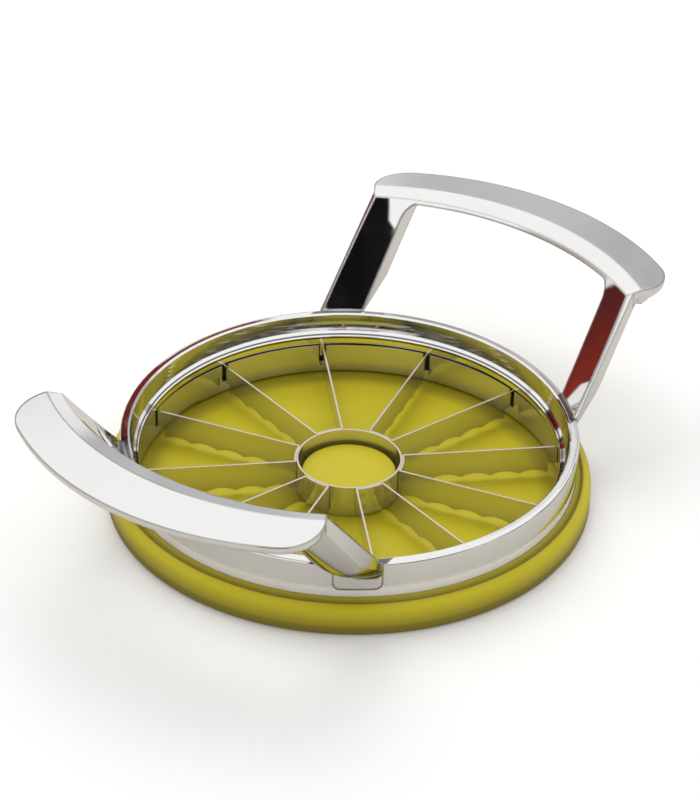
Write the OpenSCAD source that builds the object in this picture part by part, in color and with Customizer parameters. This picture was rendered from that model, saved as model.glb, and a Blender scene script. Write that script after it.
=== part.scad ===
// Apple slicer: a cutting ring with two fixed handles that stands in a round base.
// Millimetres. Origin: middle of the base's underside. +Z up, handles along +X and -X.

/* [Ring] */
// Outer radius of the ring at its rim
ring_r = 56; // [50:1:62]
// Height of the rim above the table
rim_h = 18.1; // [17:0.1:20]
// Width of the flat rim
rim_w = 2; // [1.6:0.1:2.2]
// How much narrower the ring is at its foot than at its rim
ring_draft = 0.8; // [0.4:0.1:1.2]
// Radius of the rim's outer corner
rim_round = 1; // [0.4:0.1:1.2]
// Depth of the sloping inner wall below the rim
well_depth = 4.3; // [4:0.1:4.8]
// How far the inner wall curves inward
well_slope = 1.3; // [1:0.1:1.6]
// Width of the ledge below the inner wall
ledge_w = 1.2; // [0.8:0.1:1.6]

/* [Blades] */
// Thickness of the blade strip
blade_t = 0.5; // [0.4:0.05:0.8]
// Height of the blades' top edges above the table
blade_top = 9.6; // [9.2:0.1:10]
// Depth of a blade at its longest points
blade_h = 7.4; // [6.8:0.1:7.8]
// Depth of each hollow in the cutting edge
scallop_depth = 0.9; // [0.5:0.1:1.2]
// Number of hollows along a cutting edge
scallop_count = 5; // [3:1:7]
// Flat land between two hollows
scallop_land = 0.3; // [0.2:0.1:0.6]
// Height of the tab at a blade's outer end
tab_h = 4.7; // [4:0.1:5.4]
// Length of the tab that shows inside the band
tab_reach = 2.3; // [1.6:0.1:3]

/* [Core and band] */
// Outer radius of the core ring
core_r = 13; // [11:0.5:15]
// Wall of the core ring
core_t = 0.5; // [0.4:0.05:0.8]
// How far the core ring hangs below the blades' longest points
core_drop = 0.8; // [0.4:0.1:0.9]
// Gap between the ring's ledge and the band's inner face
band_set = 0.5; // [0.3:0.05:0.6]
// Wall of the slotted band
band_t = 0.8; // [0.6:0.05:1]
// Width of the slots in the band
slot_w = 1.3; // [1:0.1:1.8]
// Thickness of the retaining ring under the band
clip_t = 0.8; // [0.6:0.05:0.9]
// Opening of the retaining ring, in degrees
clip_gap = 12; // [8:1:20]

/* [Base] */
// Width of the base outside the ring's foot
base_rim = 4.05; // [3.4:0.05:5]
// Height of the base's inner lip above the table
base_h = 8.5; // [7.8:0.1:9.4]
// Thickness of the base's floor
floor_t = 1.2; // [1:0.05:1.3]
// Gap between the boss and the inside of the core ring
boss_gap = 0.9; // [0.5:0.1:2]
// Height of the centre boss above the table
boss_h = 6.1; // [4.5:0.1:7]
// Radius of the base's rounded shoulder
shoulder_r = 2.2; // [1.5:0.1:2.3]

/* [Grips] */
// Height of the grip's highest line above the rim
grip_rise = 26.1; // [22:0.1:32]
// How far the grip's inner edge stands out from the rim
grip_out = 15.8; // [12:0.1:20]
// Width of the grip at its middle
grip_w = 16.3; // [14:0.1:19]
// Width of the facet that slopes inward
facet_w = 4.8; // [3.5:0.1:6]
// Slope of the inner facet, in degrees
facet_slope = 16; // [10:1:22]
// Slope of the top facet, in degrees
top_slope = 7.4; // [4:0.2:10]
// Depth of the grip below the inner facet's lower edge
grip_depth = 4.5; // [3.5:0.1:6]
// Height of the grip's inner edge strip
edge_strip = 1; // [0.6:0.1:1.6]
// Radius of the grip's round ends
end_r = 10.1; // [9:0.1:11.5]
// Half the angle that the grip's outer curve spans
grip_half = 31.8; // [30:0.2:33]
// Radius of the rounding under the grip's outer edge
under_round = 2.2; // [1.4:0.1:2.8]

/* [Posts] */
// Distance of each post's middle from the handle's middle
post_y = 35.5; // [34:0.5:37]
// Width of a post
post_w = 9; // [7:0.1:10]
// Thickness of a post
post_d = 6.9; // [5.5:0.1:7.4]
// Radius of the post's rounded outer face
post_crown = 10.3; // [9:0.1:13]
// Radius of the fillets where a post meets the grip
post_fillet = 4; // [2.5:0.1:5]
// How far a post's foot reaches down the ring's wall
post_drop = 4.3; // [3:0.1:5.5]
// Width of the foot tab let into the ring
foot_w = 11.6; // [10.6:0.1:13]
// Depth of the foot tab below the rim
foot_h = 7.7; // [6.5:0.1:8.2]
// Corner radius of the foot tab
foot_round = 1.8; // [1:0.1:2.4]
// Thickness of the foot tab
foot_t = 1; // [0.8:0.05:1.1]

/* [Fits] */
// Radial gap between the ring and the base
seat_clear = 0.15; // [0.12:0.01:0.3]
// Gap around the band's top edge and the retaining ring inside the ring
cartridge_clear = 0.05; // [0.02:0.01:0.1]
// Radial room past the blade tips and the retaining ring
tip_clear = 0.2; // [0.1:0.05:0.3]
// Joint line around a foot tab
foot_clear = 0.08; // [0.03:0.01:0.1]
// Gap between the blades' webs and the core ring
weld_clear = 0.02; // [0.01:0.01:0.05]

/* [Hidden] */
$fn = 120;
chrome = [0.80, 0.80, 0.81];
steel = [0.72, 0.72, 0.71];
lime = [0.66, 0.64, 0.16];
// How far a cut runs past the face that it cuts
past = 1;

// Ring, from the rim inwards and down
rim_in_r = ring_r - rim_w;
rim_inner_w = 0.45;
rim_inner_drop = 0.35;
ledge_top = rim_h - well_depth;
ledge_out_r = rim_in_r - well_slope;
ledge_in_r = ledge_out_r - ledge_w;
ledge_drop = 1.2;
lip_thick = 1.8;
lip_bottom = ledge_top - ledge_drop - lip_thick;
ring_foot_r = ring_r - ring_draft;
foot_chamfer = 0.5;

// Hollow curve of the inner wall, as an arc from the rim's inner corner down to the ledge
well_curve_r = 24;
well_r = rim_in_r - rim_inner_w;
well_z = rim_h - rim_inner_drop;
well_run = well_r - ledge_out_r;
well_fall = well_z - ledge_top;
well_lean = atan(well_run / well_fall);
well_half = asin(norm([well_run, well_fall]) / 2 / well_curve_r);
well_reach = well_curve_r * cos(well_half);
well_x = (well_r + ledge_out_r) / 2 - well_reach * cos(well_lean);
well_y = (well_z + ledge_top) / 2 + well_reach * sin(well_lean);

// Band, retaining ring and the pocket that holds them
band_in_r = ledge_in_r + band_set;
band_out_r = band_in_r + band_t;
clip_lift = 0.7;
clip_top = floor_t + clip_lift + clip_t;
band_bottom = clip_top;
shoulder_grip = 0.2;
recess_r = band_out_r - shoulder_grip;
tip_pocket = 0.6;
pocket_r = band_out_r + tip_pocket;
clip_hold = 0.6;
clip_in_r = band_out_r - clip_hold;
clip_bite = 0.5;
clip_out_r = pocket_r + clip_bite;
clip_groove_r = clip_out_r + tip_clear;

// Blades: twelve, folded in pairs from six strips
blade_count = 12;
blade_step = 360 / blade_count;
pair_step = 2 * blade_step;
blade_bottom = blade_top - blade_h;
blade_tip_r = pocket_r - tip_clear;
blade_root_r = core_r + weld_clear;
blade_step_r = band_in_r - tab_reach;
web_r = blade_root_r + blade_t;
web_inset = 0.05;
web_end = 0.4;
fold_in = 0.3;
scallop_span = (blade_step_r - web_r) / scallop_count;
scallop_chord = scallop_span - scallop_land;
scallop_r = (pow(scallop_chord / 2, 2) + pow(scallop_depth, 2)) / (2 * scallop_depth);
core_bottom = blade_bottom - core_drop;

// Base: a lip slopes down from the ring's wall to a crease, and a round shoulder rises from it
base_r = ring_foot_r + seat_clear + base_rim;
base_foot_round = 0.9;
seat_draft = ring_draft * (rim_h - base_h) / (rim_h - floor_t);
lip_in_r = ring_r + seat_clear - seat_draft;
crease_w = 0.3;
crease_r = base_r - shoulder_r - crease_w;
crease_bottom = base_h - 1.1;
shoulder_top = base_h - 0.75;
boss_r = core_r - core_t - boss_gap;
boss_round = 0.5;

// Grip: its top is a shallow cone about a centre between the ring's middle and the grip
edge_r = ring_r + grip_out;
crest_z = rim_h + grip_rise;
facet_low = crest_z - facet_w * tan(facet_slope);
grip_centre = 16;
outer_r = edge_r + grip_w - grip_centre;
crest_r = edge_r + facet_w - grip_centre;
outer_z = crest_z - (outer_r - crest_r) * tan(top_slope);
outer_edge = 0.6;
belly_z = facet_low - grip_depth;
belly_in = 5;
belly_out = 7.3;
end_centre_r = outer_r - end_r;
end_x = grip_centre + end_centre_r * cos(grip_half);
end_y = end_centre_r * sin(grip_half);
middle_lap = 5;
reach = edge_r + grip_w + 10;
high = crest_z + 20;

// Posts: a wall that leans out as a cone about the ring's axis, from the rim to the grip
post_bite = 0.6;
post_in_r = ring_r - post_bite;
lean = (edge_r - post_in_r) / (facet_low - rim_h);
function lean_r(z) = post_in_r + lean * (z - rim_h);
strip_z = facet_low - edge_strip;
strip_r = lean_r(strip_z);
belly_slope = (strip_z - belly_z) / (edge_r + belly_in - strip_r);
post_foot_z = rim_h - post_drop;
post_top = facet_low - edge_strip / 2;
post_x_foot = sqrt(pow(post_in_r, 2) - pow(post_y, 2));
post_x_top = sqrt(pow(edge_r, 2) - pow(post_y, 2));
post_tilt = atan((post_x_top - post_x_foot) / (facet_low - rim_h));
post_mid_x = (post_x_foot + post_x_top) / 2;
post_mid_z = (facet_low + rim_h) / 2;
foot_angle = asin(post_y / ring_r);
foot_in_r = ring_r - foot_t;
foot_stand = 2;
rim_dip = 0.3;

// Chamfer along the corner between a handle's inner face and its ends, from the foot up to the grip
post_side_y = post_y + post_w / 2;
corner_x_foot = sqrt(pow(post_in_r, 2) - pow(post_side_y, 2));
corner_x_top = sqrt(pow(edge_r, 2) - pow(post_side_y, 2));
corner_tilt = atan((corner_x_top - corner_x_foot) / (facet_low - rim_h));
corner_turn = 28.8;
corner_bow = 0.24;
corner_cut = 0.9;

// Place of the post's outer crown, and of the rounding under its foot
crown_back = 4.7;
crown_in = 3.9;
keel_r = 5.4;
keel_tilt = 56;
keel_shift = 0.7;
keel_x = sqrt(pow(ring_r, 2) - pow(post_y, 2));

// Points of an arc about (cx, cy), in n steps
function arc(cx, cy, r, from, to, n) =
    [for (i = [0:n]) let (a = from + (to - from) * i / n) [cx + r * cos(a), cy + r * sin(a)]];

module revolve(points) {
    rotate_extrude() polygon(points);
}

// ---- base ----

module base_tray() {
    color(lime) revolve(concat(
        [[0, 0]],
        arc(base_r - base_foot_round, base_foot_round, base_foot_round, -90, 0, 5),
        arc(base_r - shoulder_r, shoulder_top - shoulder_r, shoulder_r, 0, 90, 8),
        [
            [crease_r, crease_bottom],
            [lip_in_r, base_h],
            [ring_foot_r + seat_clear, floor_t],
            [boss_r, floor_t]
        ],
        arc(boss_r - boss_round, boss_h - boss_round, boss_round, 0, 90, 4),
        [[0, boss_h]]
    ));
}

// ---- ring ----

// Outside of the ring from the foot to the rim, as a solid of revolution
module ring_envelope(grow = 0) {
    revolve(concat(
        [
            [0, floor_t],
            [ring_foot_r - foot_chamfer + grow, floor_t],
            [ring_foot_r + grow, floor_t + foot_chamfer]
        ],
        arc(ring_r - rim_round, rim_h - rim_round, rim_round + grow, 0, 90, 6),
        [[0, rim_h + grow]]
    ));
}

// Inside of the ring: well, ledge, lip, pocket for the band and groove for the retaining ring
module ring_bore() {
    revolve(concat(
        [[0, rim_h + past], [rim_in_r, rim_h + past], [rim_in_r, rim_h]],
        arc(well_x, well_y, well_curve_r, well_half - well_lean, -well_half - well_lean, 5),
        [
            [ledge_in_r, ledge_top - ledge_drop],
            [ledge_in_r, lip_bottom],
            [recess_r, lip_bottom],
            [recess_r, blade_top + cartridge_clear],
            [pocket_r, blade_top + cartridge_clear],
            [pocket_r, clip_top + cartridge_clear],
            [clip_groove_r, clip_top + cartridge_clear],
            [clip_groove_r, clip_top - clip_t - cartridge_clear],
            [pocket_r, clip_top - clip_t - cartridge_clear],
            [pocket_r, floor_t - past],
            [0, floor_t - past]
        ]
    ));
}

// Block with two round lower corners, standing out along +X: the shape of a foot tab
module foot_block(grow) {
    half = foot_w / 2 + grow;
    low = rim_h - foot_h - grow;
    r = foot_round + grow;
    deep = 8;
    translate([foot_in_r - grow, -half, low + r]) cube([deep, 2 * half, foot_h + past]);
    translate([foot_in_r - grow, r - half, low]) cube([deep, 2 * (half - r), foot_h]);
    for (side = [-1, 1]) {
        translate([foot_in_r - grow, side * (half - r), low + r])
            rotate([0, 90, 0]) cylinder(r = r, h = deep);
    }
}

module foot_blocks(grow) {
    for (side = [-1, 1]) rotate([0, 0, side * foot_angle]) foot_block(grow);
}

module ring_frame() {
    color(chrome) difference() {
        ring_envelope();
        ring_bore();
        foot_blocks(foot_clear);
        rotate([0, 0, 180]) foot_blocks(foot_clear);
    }
}

// ---- handles ----

// Everything inside the leaning wall and above the inner facet: what a handle leaves free
module handle_void() {
    revolve([
        [0, rim_h - rim_dip],
        [lean_r(rim_h - rim_dip), rim_h - rim_dip],
        [edge_r, facet_low],
        [reach, facet_low + (reach - edge_r) * tan(facet_slope)],
        [reach, high],
        [0, high]
    ]);
}

// Everything above the grip's underside, which slopes down from the inner edge strip
module grip_underside() {
    revolve([
        [strip_r - past, strip_z + past * belly_slope],
        [edge_r + belly_in, belly_z],
        [reach, belly_z],
        [reach, high],
        [strip_r - past, high]
    ]);
}

// Everything below the top facet
module grip_top() {
    translate([grip_centre, 0, 0]) revolve([
        [0, belly_z - past],
        [reach, belly_z - past],
        [reach, crest_z - (reach - crest_r) * tan(top_slope)],
        [0, crest_z + crest_r * tan(top_slope)]
    ]);
}

// Section of the grip's edge, from the middle out to radius r
function edge_section(r) = concat(
    [[0, high], [r, high]],
    arc(r - under_round, outer_z - outer_edge, under_round, 0, -60, 6),
    [[r - belly_out, belly_z], [0, belly_z]]
);

// One half of the grip seen from above: curved edge, round end, and the corner over the post
module grip_half_edge() {
    translate([grip_centre, 0, 0]) rotate([0, 0, grip_half]) {
        mirror([0, 1, 0]) rotate_extrude(angle = grip_half + middle_lap)
            polygon(edge_section(outer_r));
        translate([end_centre_r, 0, 0]) rotate_extrude(angle = 180)
            polygon(edge_section(end_r));
    }
    translate([post_x_foot, post_y - post_w / 2, belly_z])
        cube([end_x - post_x_foot, post_w, high - belly_z]);
}

module grip() {
    intersection() {
        grip_underside();
        grip_top();
        union() {
            grip_half_edge();
            mirror([0, 1, 0]) grip_half_edge();
        }
    }
}

// Leaning block, round outside, that the posts are cut from
module post_wall() {
    revolve([
        [0, post_foot_z],
        [ring_r + foot_stand, post_foot_z],
        [post_in_r + post_d, rim_h],
        [lean_r(post_top) + post_d, post_top],
        [0, post_top]
    ]);
}

// Front outline of one post: its sides, and the fillets up to the grip
module post_sides() {
    low = post_foot_z - past;
    translate([0, post_y - post_w / 2, low]) cube([reach, post_w, high - low]);
    post_fillet_bar(-1);
    intersection() {
        post_fillet_bar(1);
        translate([end_x, end_y, low]) cylinder(r = end_r, h = high);
    }
}

// Bar with a hollow round side that fills the corner between a post's side and the grip
module post_fillet_bar(side) {
    near_y = post_y + side * (post_w / 2 - past);
    far_y = post_y + side * (post_w / 2 + post_fillet);
    low = post_top - post_fillet;
    difference() {
        translate([0, min(near_y, far_y), low])
            cube([reach, post_fillet + past, post_fillet]);
        translate([-past, far_y, low])
            rotate([0, 90, 0]) cylinder(r = post_fillet, h = reach + 2 * past);
    }
}

// What is taken off below the post's foot, so that it narrows to a point on the ring's wall
module post_undercut() {
    translate([
        keel_x - keel_r * cos(keel_tilt),
        post_y - keel_shift,
        post_foot_z + keel_r * sin(keel_tilt)
    ]) rotate([0, keel_tilt, 0]) difference() {
        translate([0, -post_w, -4 * keel_r]) cube([4 * keel_r, 2 * post_w, 7 * keel_r]);
        translate([0, 0, -5 * keel_r]) cylinder(r = keel_r, h = 9 * keel_r);
    }
}

// Leaning round bar whose surface is the outer face of a post
module post_round() {
    translate([post_mid_x - crown_back, post_y - crown_in, post_mid_z])
        rotate([0, post_tilt, 0]) cylinder(r = post_crown, h = reach, center = true);
}

// What is taken off the sharp corner between a handle's inner face and one of its ends
module corner_chamfer() {
    side = 2 * post_w;
    translate([(corner_x_foot + corner_x_top) / 2 + corner_bow, post_side_y, post_mid_z])
        rotate([0, corner_tilt, 0]) rotate([0, 0, -corner_turn])
            translate([corner_cut - side, -side / 2, -reach / 2]) cube([side, side, reach]);
}

module post() {
    difference() {
        intersection() {
            post_wall();
            post_sides();
            post_round();
        }
        post_undercut();
    }
}

module handle() {
    color(chrome) union() {
        difference() {
            union() {
                grip();
                post();
                mirror([0, 1, 0]) post();
            }
            handle_void();
            corner_chamfer();
            mirror([0, 1, 0]) corner_chamfer();
            difference() {
                ring_envelope(foot_clear);
                foot_blocks(0);
            }
        }
        intersection() {
            ring_envelope();
            foot_blocks(0);
        }
    }
}

module handle_right() {
    handle();
}

module handle_left() {
    rotate([0, 0, 180]) handle();
}

// ---- blades, core and band ----

module blade_band() {
    color(steel) difference() {
        revolve([
            [band_in_r, band_bottom],
            [band_out_r, band_bottom],
            [band_out_r, blade_top],
            [band_in_r, blade_top]
        ]);
        for (i = [0:blade_count - 1]) {
            rotate([0, 0, blade_step * (i + 0.5)])
                translate([band_in_r - past, -slot_w / 2, blade_top - tab_h])
                    cube([band_t + 2 * past, slot_w, tab_h + past]);
        }
    }
}

module core_ring() {
    color(steel) revolve([
        [core_r - core_t, core_bottom],
        [core_r, core_bottom],
        [core_r, blade_top],
        [core_r - core_t, blade_top]
    ]);
}

module retaining_ring() {
    color(steel) rotate([0, 0, 90 + clip_gap / 2])
        rotate_extrude(angle = 360 - clip_gap) polygon([
            [clip_in_r, clip_top - clip_t],
            [clip_out_r, clip_top - clip_t],
            [clip_out_r, clip_top],
            [clip_in_r, clip_top]
        ]);
}

// One blade along +X, with a hollowed cutting edge and a tab at its outer end
module blade() {
    difference() {
        union() {
            translate([web_r - fold_in, -blade_t / 2, blade_bottom])
                cube([blade_step_r - web_r + fold_in, blade_t, blade_h]);
            translate([blade_step_r - past, -blade_t / 2, blade_top - tab_h])
                cube([blade_tip_r - blade_step_r + past, blade_t, tab_h]);
        }
        for (i = [0:scallop_count - 1]) {
            translate([web_r + scallop_span * (i + 0.5), 0,
                    blade_bottom + scallop_depth - scallop_r])
                rotate([90, 0, 0]) cylinder(r = scallop_r, h = 2 * blade_t, center = true);
        }
    }
}

// Two blades folded from one strip, joined by the web that lies on the core ring
module blade_pair(index) {
    color(steel) rotate([0, 0, pair_step * (index - 1) - blade_step / 2]) {
        blade();
        rotate([0, 0, blade_step]) blade();
        rotate([0, 0, web_end]) rotate_extrude(angle = blade_step - 2 * web_end) polygon([
            [blade_root_r, blade_bottom + web_inset],
            [web_r, blade_bottom + web_inset],
            [web_r, blade_top - web_inset],
            [blade_root_r, blade_top - web_inset]
        ]);
    }
}

base_tray();
ring_frame();
handle_right();
handle_left();
blade_band();
core_ring();
retaining_ring();
blade_pair(1);  // blade_pair_1
blade_pair(2);  // blade_pair_2
blade_pair(3);  // blade_pair_3
blade_pair(4);  // blade_pair_4
blade_pair(5);  // blade_pair_5
blade_pair(6);  // blade_pair_6
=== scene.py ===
"""Looks of the apple slicer: finishes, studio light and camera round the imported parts.

Metres, in the parts' own frame: +Z up from the middle of the base's underside, handles along +X and -X.
"""
import math

import bpy
from mathutils import Matrix, Vector


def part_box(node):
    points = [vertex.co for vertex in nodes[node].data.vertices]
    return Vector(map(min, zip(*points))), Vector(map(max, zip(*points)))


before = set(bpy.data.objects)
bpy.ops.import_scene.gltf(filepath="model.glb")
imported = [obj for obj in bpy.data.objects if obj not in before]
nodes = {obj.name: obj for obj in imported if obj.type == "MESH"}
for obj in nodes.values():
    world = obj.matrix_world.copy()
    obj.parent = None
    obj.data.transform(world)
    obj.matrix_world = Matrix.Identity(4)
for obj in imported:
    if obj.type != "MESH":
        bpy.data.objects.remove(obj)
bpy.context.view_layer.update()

MM = 0.001

# Heights and radii that the finishes and the light need, from the frame
RIM_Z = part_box("ring_frame")[1].z
RIM_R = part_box("ring_frame")[1].x
BLADE_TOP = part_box("core_ring")[1].z
CORE_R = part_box("core_ring")[1].x
BASE_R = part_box("base_tray")[1].x
GRIP_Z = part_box("handle_right")[1].z
BASE_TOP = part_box("base_tray")[1].z
BAND_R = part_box("blade_band")[1].x
BLADE_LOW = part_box("core_ring")[0].z

# Sizes of part.scad that the boxes don't give
FOOT_Y = 35.5 * MM                # middle of a post's foot, across the handle
FOOT_HALF = 4.6 * MM              # half of that foot's width
POST_EDGE_Y = 33.7 * MM           # where a post's rounded edge beside the window begins
CREASE_R = BASE_R - 2.5 * MM      # crease behind the base's lip
FLOOR_CORNER = (45.5 * MM, 50.5 * MM)   # painted shade on the base's floor between these radii
HALF_BAY = math.radians(15)       # half the angle between two blades

PAIRS = ["blade_pair_%d" % i for i in range(1, 7)]
HANDLES = ["handle_right", "handle_left"]

# Camera, measured from the circles in the photograph
CAMERA_AZIMUTH = math.radians(-53.36)
CAMERA_ELEVATION = math.radians(33.05)
CAMERA_ROLL = math.radians(1.437)
CAMERA_DISTANCE = 804.4 * MM
CAMERA_AIM_UP = 7.09 * MM
CAMERA_LENS = 148.6


# ---- node helpers ----

class Graph:
    """A material's or the world's node tree, with short ways to add and link nodes."""

    def __init__(self, tree):
        self.tree = tree
        tree.nodes.clear()

    def add(self, kind, **settings):
        node = self.tree.nodes.new("ShaderNode" + kind)
        for name, value in settings.items():
            setattr(node, name, value)
        return node

    def put(self, socket, value):
        """Sets a socket to a value, or links it to an output socket."""
        if isinstance(value, bpy.types.NodeSocket):
            self.tree.links.new(value, socket)
        else:
            socket.default_value = value

    def math(self, operation, a, b=0.0):
        node = self.add("Math", operation=operation)
        self.put(node.inputs[0], a)
        self.put(node.inputs[1], b)
        return node.outputs[0]

    def ramp(self, value, low, high, out_low=0.0, out_high=1.0):
        """Maps low..high smoothly to out_low..out_high and holds it outside."""
        node = self.add("MapRange", interpolation_type="SMOOTHSTEP")
        for socket, number in zip(node.inputs, (value, low, high, out_low, out_high)):
            self.put(socket, number)
        return node.outputs[0]

    def mix(self, share, a, b):
        """Colour between a and b."""
        node = self.add("Mix", data_type="RGBA")
        self.put(node.inputs["Factor"], share)
        self.put(node.inputs[6], a)
        self.put(node.inputs[7], b)
        return node.outputs[2]

    def noise(self, vector, scale, detail=3.0, rough=0.5, stretch=(1, 1, 1)):
        mapping = self.add("Mapping")
        self.put(mapping.inputs["Vector"], vector)
        mapping.inputs["Scale"].default_value = stretch
        node = self.add("TexNoise")
        self.put(node.inputs["Vector"], mapping.outputs[0])
        node.inputs["Scale"].default_value = scale
        node.inputs["Detail"].default_value = detail
        node.inputs["Roughness"].default_value = rough
        return node.outputs["Fac"]

    def bump(self, height, distance, strength=1.0, normal=None):
        node = self.add("Bump")
        node.inputs["Strength"].default_value = strength
        node.inputs["Distance"].default_value = distance
        self.put(node.inputs["Height"], height)
        if normal is not None:
            self.put(node.inputs["Normal"], normal)
        return node.outputs[0]

    def bevel(self, radius):
        """Normal of the same surface with its edges rounded."""
        node = self.add("Bevel", samples=6)
        node.inputs["Radius"].default_value = radius
        return node.outputs[0]

    def split(self, vector):
        node = self.add("SeparateXYZ")
        self.put(node.inputs[0], vector)
        return node.outputs

    def blend(self, share, a, b):
        """Number between a and b."""
        node = self.add("Mix", data_type="FLOAT")
        self.put(node.inputs[0], share)
        self.put(node.inputs[2], a)
        self.put(node.inputs[3], b)
        return node.outputs[0]

    def edges(self, rounded, low=0.90, high=0.995):
        """1 near the edges of the mesh, where the rounded normal leaves the flat one."""
        node = self.add("VectorMath", operation="DOT_PRODUCT")
        self.put(node.inputs[0], rounded)
        self.put(node.inputs[1], self.add("NewGeometry").outputs["Normal"])
        return self.ramp(node.outputs["Value"], low, high, 1.0, 0.0)

    def both(self, *masks):
        """Product of all the masks."""
        out = masks[0]
        for mask in masks[1:]:
            out = self.math("MULTIPLY", out, mask)
        return out

    def length(self, a, b):
        squares = self.math("ADD", self.math("MULTIPLY", a, a), self.math("MULTIPLY", b, b))
        return self.math("SQRT", squares)

    def band(self, value, middle, half, soft):
        """1 where value is within half of middle, fading to 0 over soft."""
        off = self.math("ABSOLUTE", self.math("SUBTRACT", value, middle))
        return self.ramp(off, half, half + soft, 1.0, 0.0)

    def principled(self, **sockets):
        shader = self.add("BsdfPrincipled")
        for name, value in sockets.items():
            self.put(shader.inputs[name.replace("_", " ")], value)
        output = self.add("OutputMaterial")
        self.put(output.inputs["Surface"], shader.outputs[0])


def new_material(name):
    material = bpy.data.materials.new(name)
    material.use_nodes = True
    return material, Graph(material.node_tree)


def grey(value, warm=0.0):
    """Grey of that value, tinted a share warmer."""
    return (value * (1 + warm), value, value * (1 - warm), 1.0)


# ---- finishes ----

def chrome_material():
    """Cast metal, plated and polished, with soft waves and faint haze.

    Painted shade and painted dark reflection lie in two lines at the ledge, at the posts' feet and along
    the edges.
    The wall's lower part is rubbed dull where the base guides it.
    """
    material, g = new_material("polished_chrome")
    place = g.add("TexCoord").outputs["Object"]
    x, y, z = g.split(place)
    radius = g.length(x, y)
    waves = g.noise(place, 55.0, 2.0)
    haze = g.noise(place, 130.0, 5.0, 0.6)
    hairs = g.noise(place, 900.0, 2.0, 0.5, (1.0, 0.12, 1.0))
    rough = g.math("ADD", g.ramp(haze, 0.45, 0.75, 0.03, 0.085), g.ramp(hairs, 0.55, 0.8, 0.0, 0.03))
    rounded = g.bevel(0.3 * MM)
    inside = g.ramp(radius, RIM_R - 3.0 * MM, RIM_R - 2.9 * MM, 1.0, 0.0)
    # Painted shade and painted dark reflection: two dark lines in the ledge and a dark patch at each post's
    # foot
    ledge_line = g.both(inside, g.band(z, RIM_Z - 5.05 * MM, 0.10 * MM, 0.12 * MM))
    lip_line = g.both(inside, g.band(z, RIM_Z - 5.85 * MM, 0.18 * MM, 0.15 * MM))
    at_foot = g.both(g.band(g.math("ABSOLUTE", y), FOOT_Y, FOOT_HALF, 0.5 * MM),
                     g.ramp(z, RIM_Z - 0.5 * MM, RIM_Z - 0.3 * MM),
                     g.ramp(radius, RIM_R - 2.1 * MM, RIM_R - 1.7 * MM))
    dark = g.math("MAXIMUM", g.math("MAXIMUM", ledge_line, lip_line), at_foot)
    color = g.mix(haze, grey(0.80, 0.004), grey(0.86, 0.002))
    # Painted dark reflection along the rounded edges
    color = g.mix(g.math("MULTIPLY", g.edges(rounded), 0.35), color, grey(0.30, 0.02))
    color = g.mix(g.math("MULTIPLY", dark, 0.85), color, grey(0.05, 0.05))
    rubbed = g.both(g.ramp(radius, RIM_R - 1.5 * MM, RIM_R - 1.3 * MM),
                    g.ramp(z, BASE_TOP + 1.8 * MM, BASE_TOP + 3.4 * MM, 1.0, 0.0),
                    g.ramp(haze, 0.3, 0.6, 0.80, 0.92))
    color = g.mix(rubbed, color, (0.80, 0.775, 0.72, 1.0))
    g.principled(Base_Color=color, Metallic=g.math("SUBTRACT", 1.0, rubbed),
                 Roughness=g.blend(rubbed, rough, 0.42),
                 Normal=g.bump(waves, 0.03 * MM, 0.25, rounded))
    return material


def handle_material():
    """The same chrome, with the grip's top facet blasted to a fine satin finish.

    Edges are painted darker as a painted dark reflection. The outer side of each post carries a painted
    dark reflection at its foot and beside the window.
    """
    material, g = new_material("chrome_with_satin_grip")
    coord = g.add("TexCoord")
    place = coord.outputs["Object"]
    x, y, height = g.split(place)
    nx, _, facing = g.split(coord.outputs["Normal"])
    satin = g.both(g.ramp(height, GRIP_Z - 3.2 * MM, GRIP_Z - 2.8 * MM),
                   g.ramp(facing, 0.975, 0.985))
    waves = g.noise(place, 55.0, 2.0)
    haze = g.noise(place, 130.0, 5.0, 0.6)
    grain = g.noise(place, 2200.0, 3.0, 0.6)
    polished = g.ramp(haze, 0.45, 0.75, 0.03, 0.085)
    rough = g.blend(satin, polished, g.ramp(haze, 0.3, 0.7, 0.21, 0.27))
    rounded = g.bevel(0.85 * MM)
    smooth = g.bump(waves, 0.03 * MM, 0.25, rounded)
    color = g.mix(haze, grey(0.82, 0.004), grey(0.87, 0.002))
    # Painted dark reflection along the rounded edges
    color = g.mix(g.math("MULTIPLY", g.edges(rounded, 0.94), 0.62), color, grey(0.16, 0.01))
    # Painted dark reflection on the outer side of each post, at its foot and beside the window
    post_edge = g.ramp(g.math("ABSOLUTE", y), POST_EDGE_Y, POST_EDGE_Y + 0.8 * MM, 1.0, 0.0)
    foot_edge = g.ramp(height, RIM_Z + 1.2 * MM, RIM_Z + 2.6 * MM, 1.0, 0.0)
    outward = g.math("MULTIPLY", nx, g.math("SIGN", x))
    painted_dark_reflection = g.both(g.math("MAXIMUM", post_edge, foot_edge), g.ramp(outward, 0.0, 0.15),
                        g.ramp(g.length(x, y), RIM_R + 0.3 * MM, RIM_R + 0.7 * MM),
                        g.ramp(height, GRIP_Z - 9 * MM, GRIP_Z - 6 * MM, 1.0, 0.0), 0.75)
    color = g.mix(painted_dark_reflection, color, grey(0.17))
    g.principled(
        Base_Color=color, Metallic=1.0, Roughness=rough,
        Normal=g.bump(g.math("MULTIPLY", grain, satin), 0.002 * MM, 0.4, smooth),
    )
    return material


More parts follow.
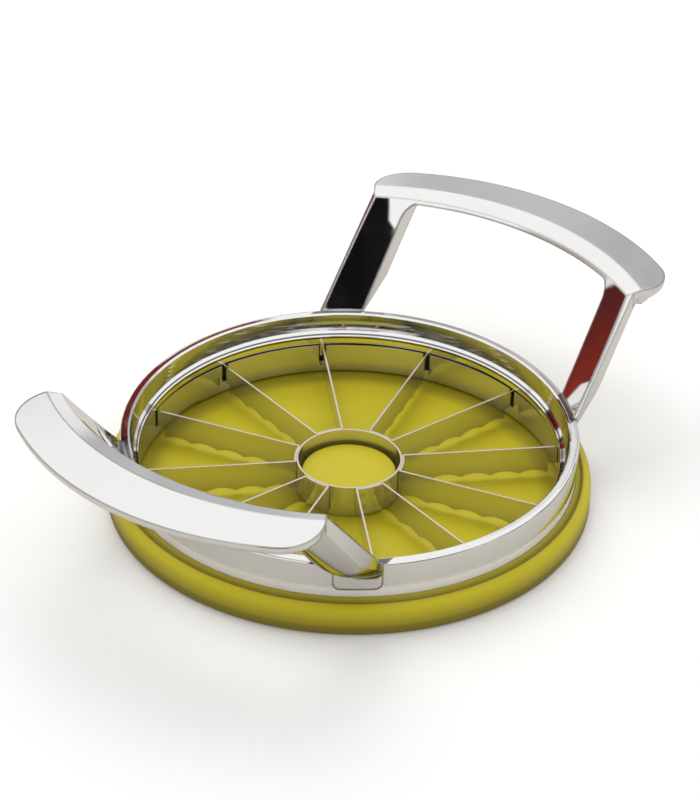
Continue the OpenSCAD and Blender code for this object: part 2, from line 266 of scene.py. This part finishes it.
def strip_material(name, kind):
    """Rolled stainless strip with fine lines along it and ground top edges.

    The folded pairs carry two spot-weld marks on each web. The ground top edges carry a painted dark
    reflection, and the band carries painted shade in its slots and along its top edge.
    """
    material, g = new_material(name)
    coord = g.add("TexCoord")
    place = coord.outputs["Object"]
    x, y, z = g.split(place)
    facing = g.split(coord.outputs["Normal"])["Z"]
    radius = g.length(x, y)
    turn = g.math("PINGPONG", g.math("ARCTAN2", y, x), HALF_BAY)
    on_top = g.both(g.ramp(z, BLADE_TOP - 0.2 * MM, BLADE_TOP - 0.1 * MM),
                    g.ramp(facing, 0.7, 0.9))
    lines = g.noise(place, 500.0, 3.0, 0.6, (0.15, 0.15, 3.0))
    blotch = g.noise(place, 60.0, 3.0)
    rough = g.math("ADD", g.ramp(lines, 0.3, 0.7, 0.09, 0.15), g.ramp(blotch, 0.4, 0.8, 0.0, 0.05))
    rough = g.math("ADD", rough, g.math("MULTIPLY", on_top, 0.2))
    rounded = g.bevel(0.12 * MM)
    color = g.mix(on_top, grey(0.66, 0.01), (0.78, 0.70, 0.60, 1.0))
    # Painted dark reflection along the ground top edges
    color = g.mix(g.both(g.edges(rounded), on_top, 0.45), color, (0.20, 0.15, 0.09, 1.0))
    normal = g.bump(lines, 0.004 * MM, 0.35, rounded)
    if kind == "pair":
        on_web = g.ramp(radius, CORE_R + 1.0 * MM, CORE_R + 1.2 * MM, 1.0, 0.0)
        middle = (BLADE_TOP + BLADE_LOW) / 2 + 0.3 * MM
        high_spot = g.math("ABSOLUTE", g.math("SUBTRACT", z, middle))
        along = g.math("MULTIPLY", g.math("SUBTRACT", HALF_BAY, turn), CORE_R)
        spot = g.length(g.math("SUBTRACT", along, 1.5 * MM), g.math("SUBTRACT", high_spot, 1.7 * MM))
        dimple = g.both(g.ramp(spot, 0.3 * MM, 0.6 * MM, 1.0, 0.0), on_web)
        mark = g.both(g.band(spot, 0.6 * MM, 0.08 * MM, 0.18 * MM), on_web, 0.45)
        color = g.mix(mark, color, (0.22, 0.18, 0.10, 1.0))
        normal = g.bump(g.math("SUBTRACT", 1.0, dimple), 0.08 * MM, 0.7, normal)
    if kind == "band":
        along = g.math("MULTIPLY", g.math("SUBTRACT", HALF_BAY, turn), BAND_R)
        # Painted shade: the slots are painted dark wider than they are cut, and the band's top edge is
        # painted dark
        slot = g.both(g.ramp(along, 0.9 * MM, 1.05 * MM, 1.0, 0.0),
                      g.ramp(z, BLADE_TOP - 4.8 * MM, BLADE_TOP - 4.6 * MM))
        rim = g.both(on_top, g.ramp(radius, BAND_R - 0.66 * MM, BAND_R - 0.6 * MM))
        color = g.mix(g.both(g.math("MAXIMUM", slot, rim), 0.96), color, grey(0.012))
    g.principled(Base_Color=color, Metallic=0.95, Roughness=rough, Normal=normal)
    return material


def base_material():
    """Lime moulded plastic with a fine eggshell texture and a few scuffs.

    Painted shade darkens it in the crease behind the lip, towards the foot and in the floor's corner.
    """
    material, g = new_material("base_plastic")
    place = g.add("TexCoord").outputs["Object"]
    x, y, z = g.split(place)
    radius = g.length(x, y)
    tone = g.noise(place, 22.0, 3.0)
    grain = g.noise(place, 1400.0, 2.0, 0.5)
    scuff = g.noise(place, 260.0, 4.0, 0.65, (1.0, 0.25, 1.0))
    rough = g.math("ADD", g.ramp(grain, 0.3, 0.7, 0.42, 0.50), g.ramp(scuff, 0.6, 0.8, 0.0, 0.12))
    color = g.mix(tone, (0.51, 0.435, 0.007, 1.0), (0.57, 0.485, 0.010, 1.0))
    # Painted shade in the crease behind the lip
    lip = g.both(g.ramp(radius, CREASE_R - 1.6 * MM, CREASE_R, 0.35, 1.0),
                 g.ramp(radius, CREASE_R + 0.3 * MM, CREASE_R + 0.9 * MM, 1.0, 0.0),
                 g.ramp(z, BASE_TOP - 2.0 * MM, BASE_TOP - 1.6 * MM))
    color = g.mix(g.math("MULTIPLY", lip, 0.72), color, (0.15, 0.10, 0.012, 1.0))
    # Painted shade: the outer side is darker towards its foot
    outside = g.ramp(radius, BASE_R - 1.2 * MM, BASE_R - 0.4 * MM)
    foot = g.math("MULTIPLY", outside, g.ramp(z, 0.8 * MM, 7.5 * MM, 1.0, 0.0))
    color = g.mix(g.math("MULTIPLY", foot, 0.74), color, (0.15, 0.115, 0.015, 1.0))
    # Painted shade in the floor's corner next to the band
    corner = g.both(g.ramp(radius, *FLOOR_CORNER), g.ramp(z, 2.0 * MM, 3.0 * MM, 1.0, 0.0), 0.42)
    color = g.mix(corner, color, (0.12, 0.085, 0.012, 1.0))
    g.principled(Base_Color=color, Roughness=rough, Specular_IOR_Level=0.32,
                 Normal=g.bump(grain, 0.012 * MM, 0.35, g.bevel(0.25 * MM)))
    return material


def dress(names, material):
    """Puts the material on the named CAD nodes."""
    for name in names:
        mesh = nodes[name].data
        mesh.materials.clear()
        mesh.materials.append(material)


# ---- studio ----

def emission(g, color, strength):
    node = g.add("Emission")
    g.put(node.inputs["Color"], color)
    g.put(node.inputs["Strength"], strength)
    return node.outputs[0]


def make_world():
    """A pale dome, dimmer near the horizon behind the object, white to the camera."""
    world = bpy.data.worlds.new("studio")
    world.use_nodes = True
    g = Graph(world.node_tree)
    path = g.add("LightPath")
    rise = g.ramp(g.split(g.add("TexCoord").outputs["Generated"])["Z"], 0.05, 0.5, 0.75, 1.04)
    dome = g.add("Background")
    g.put(dome.inputs["Color"], g.mix(rise, grey(1.0, 0.01), grey(1.0, 0.003)))
    seen = g.math("MAXIMUM", path.outputs["Is Camera Ray"], path.outputs["Is Transmission Ray"])
    mirrored = g.blend(path.outputs["Is Glossy Ray"], 0.86, rise)
    g.put(dome.inputs["Strength"], g.blend(seen, mirrored, 1.0))
    output = g.add("OutputWorld")
    g.put(output.inputs["Surface"], dome.outputs[0])
    bpy.context.scene.world = world


def make_floor():
    """Plain pale floor, warmer in the metal, a little brighter to the camera, and more so far away."""
    size = 4.0
    mesh = bpy.data.meshes.new("floor")
    corners = [(-size, -size, 0), (size, -size, 0), (size, size, 0), (-size, size, 0)]
    mesh.from_pydata(corners, [], [(0, 1, 2, 3)])
    floor = bpy.data.objects.new("floor", mesh)
    floor.location.z = -0.2 * MM
    bpy.context.scene.collection.objects.link(floor)
    material, g = new_material("pale_floor")
    path = g.add("LightPath")
    diffuse = g.add("BsdfDiffuse")
    g.put(diffuse.inputs["Color"],
          g.mix(path.outputs["Is Glossy Ray"], (0.80, 0.793, 0.782, 1.0), (0.58, 0.55, 0.505, 1.0)))
    x, y, _ = g.split(g.add("TexCoord").outputs["Object"])
    glow = g.ramp(g.length(x, y), 0.4, 1.3, 0.10, 0.36)
    lift = emission(g, grey(1.0), g.math("MULTIPLY", path.outputs["Is Camera Ray"], glow))
    total = g.add("AddShader")
    g.put(total.inputs[0], diffuse.outputs[0])
    g.put(total.inputs[1], lift)
    output = g.add("OutputMaterial")
    g.put(output.inputs["Surface"], total.outputs[0])
    mesh.materials.append(material)


def toward(azimuth, elevation):
    """Direction from the object, from angles in degrees."""
    a, e = math.radians(azimuth), math.radians(elevation)
    return Vector((math.cos(a) * math.cos(e), math.sin(a) * math.cos(e), math.sin(e)))


def curved_card(name, radius, profile, color, top_color=None, soft=0.015):
    """A curved card round the object that only the metal mirrors, with soft edges.

    The profile lists azimuth in degrees, and the card's foot and top there in metres.
    The colour runs from color at its foot to top_color at its top.
    """
    steps = 16
    columns = []
    for (a, a_low, a_high), (b, b_low, b_high) in zip(profile, profile[1:]):
        for i in range(steps):
            t = i / steps
            columns.append((a + (b - a) * t, a_low + (b_low - a_low) * t,
                            a_high + (b_high - a_high) * t))
    columns.append(profile[-1])
    corners = [(radius * math.cos(math.radians(a)), radius * math.sin(math.radians(a)), z)
               for a, low, high in columns for z in (low, high)]
    faces = [(2 * i, 2 * i + 2, 2 * i + 3, 2 * i + 1) for i in range(len(columns) - 1)]
    mesh = bpy.data.meshes.new(name)
    mesh.from_pydata(corners, [], faces)
    # Height above the card's foot, distance from its nearer side, and its whole height there
    for attribute in ("rise", "edge", "tall"):
        mesh.attributes.new(attribute, "FLOAT", "POINT")
    for i, (a, low, high) in enumerate(columns):
        off = radius * math.radians(min(a - profile[0][0], profile[-1][0] - a))
        for k, share in enumerate((0.0, 1.0)):
            values = {"rise": share * (high - low), "edge": off, "tall": high - low}
            for attribute, value in values.items():
                mesh.attributes[attribute].data[2 * i + k].value = value
    thing = bpy.data.objects.new(name, mesh)
    bpy.context.scene.collection.objects.link(thing)
    material, g = new_material(name)
    up, side, full = [g.add("Attribute", attribute_name=attribute).outputs["Fac"]
                      for attribute in ("rise", "edge", "tall")]
    solid = g.both(g.ramp(g.math("SUBTRACT", full, up), 0.0, soft), g.ramp(side, 0.0, soft))
    if min(low for a, low, high in profile) > 0:
        solid = g.both(solid, g.ramp(up, 0.0, soft))
    mottle = g.noise(g.add("TexCoord").outputs["Object"], 14.0, 2.0)
    shade = g.mix(g.math("DIVIDE", up, full), color, top_color or color)
    shade = g.mix(g.ramp(mottle, 0.35, 0.65, 0.0, 0.25), shade, grey(0.02))
    clear = g.add("BsdfTransparent")
    blend = g.add("MixShader")
    g.put(blend.inputs[0], solid)
    g.put(blend.inputs[1], clear.outputs[0])
    g.put(blend.inputs[2], emission(g, shade, 1.0))
    output = g.add("OutputMaterial")
    g.put(output.inputs["Surface"], blend.outputs[0])
    mesh.materials.append(material)
    for ray in ("camera", "diffuse", "shadow", "transmission", "volume_scatter"):
        setattr(thing, "visible_" + ray, False)


def soft_box(name, azimuth, elevation, distance, size, power):
    """A soft lamp that shines at the object and isn't mirrored in it."""
    data = bpy.data.lights.new(name, "AREA")
    data.shape = "RECTANGLE"
    data.size, data.size_y = size
    data.energy = power
    lamp = bpy.data.objects.new(name, data)
    direction = toward(azimuth, elevation)
    lamp.location = direction * distance
    lamp.rotation_euler = direction.to_track_quat("Z", "Y").to_euler()
    lamp.visible_glossy = False
    bpy.context.scene.collection.objects.link(lamp)


def make_camera():
    """The photograph's camera. It aims a little above the middle of the ring's rim."""
    a, e = CAMERA_AZIMUTH, CAMERA_ELEVATION
    back = Vector((math.sin(a) * math.cos(e), -math.cos(a) * math.cos(e), math.sin(e)))
    right = Vector((math.cos(a), math.sin(a), 0))
    up = back.cross(right)
    c, s = math.cos(CAMERA_ROLL), math.sin(CAMERA_ROLL)
    x_axis = right * c + up * s
    y_axis = up * c - right * s
    place = back * CAMERA_DISTANCE + y_axis * CAMERA_AIM_UP
    place.z += RIM_Z
    data = bpy.data.cameras.new("camera")
    data.lens = CAMERA_LENS
    data.sensor_width = 36.0
    data.clip_start, data.clip_end = 0.01, 20.0
    camera = bpy.data.objects.new("camera", data)
    axes = Matrix((x_axis, y_axis, back)).transposed()
    camera.matrix_world = Matrix.Translation(place) @ axes.to_4x4()
    bpy.context.scene.collection.objects.link(camera)
    bpy.context.scene.camera = camera


# ---- build ----

bpy.context.scene.view_settings.view_transform = "Standard"

dress(["ring_frame"], chrome_material())
dress(HANDLES, handle_material())
dress(PAIRS, strip_material("blade_steel", "pair"))
dress(["core_ring", "retaining_ring"], strip_material("ring_steel", "plain"))
dress(["blade_band"], strip_material("band_steel", "band"))
dress(["base_tray"], base_material())

make_world()
make_floor()
# Azimuths in degrees, heights in metres
curved_card("dark_card_front", 0.28, [(-159.5, 0.0, 0.335), (-129, 0.0, 0.335)],
            grey(0.005), soft=0.006)
curved_card("red_card_left", 0.30,
            [(41.5, 0.165, 0.218), (53, 0.165, 0.224), (57, 0.08, 0.222), (62, 0.0, 0.215), (70, 0.0, 0.20),
             (88, 0.0, 0.12), (96, 0.0, 0.12)],
            (0.29, 0.030, 0.018, 1.0), (0.09, 0.018, 0.014, 1.0), soft=0.008)
curved_card("grey_card_back", 0.31, [(-8, 0.03, 0.22), (36, 0.03, 0.212)],
            grey(0.68, 0.01), grey(0.50, 0.01))
curved_card("grey_card_low", 0.31, [(36, 0.064, 0.142), (57, 0.0, 0.142)],
            (0.68, 0.70, 0.71, 1.0), grey(0.60))
curved_card("pale_card_back", 0.33, [(-12, 0.21, 0.285), (40, 0.21, 0.285)],
            grey(0.82, 0.01), grey(0.95))
curved_card("beige_card_left", 0.31, [(96, 0.10, 0.20), (104, 0.07, 0.22), (178, 0.07, 0.27)],
            (0.62, 0.54, 0.52, 1.0), (0.48, 0.43, 0.38, 1.0))
curved_card("dark_card_right", 0.34, [(-132, 0.03, 0.12), (-15, 0.03, 0.12)],
            grey(0.03), grey(0.06), soft=0.02)
soft_box("key_light", 64, 60, 1.4, (1.0, 1.0), 6.5)
soft_box("fill_light", 10, 66, 1.6, (1.4, 1.4), 3.5)
make_camera()
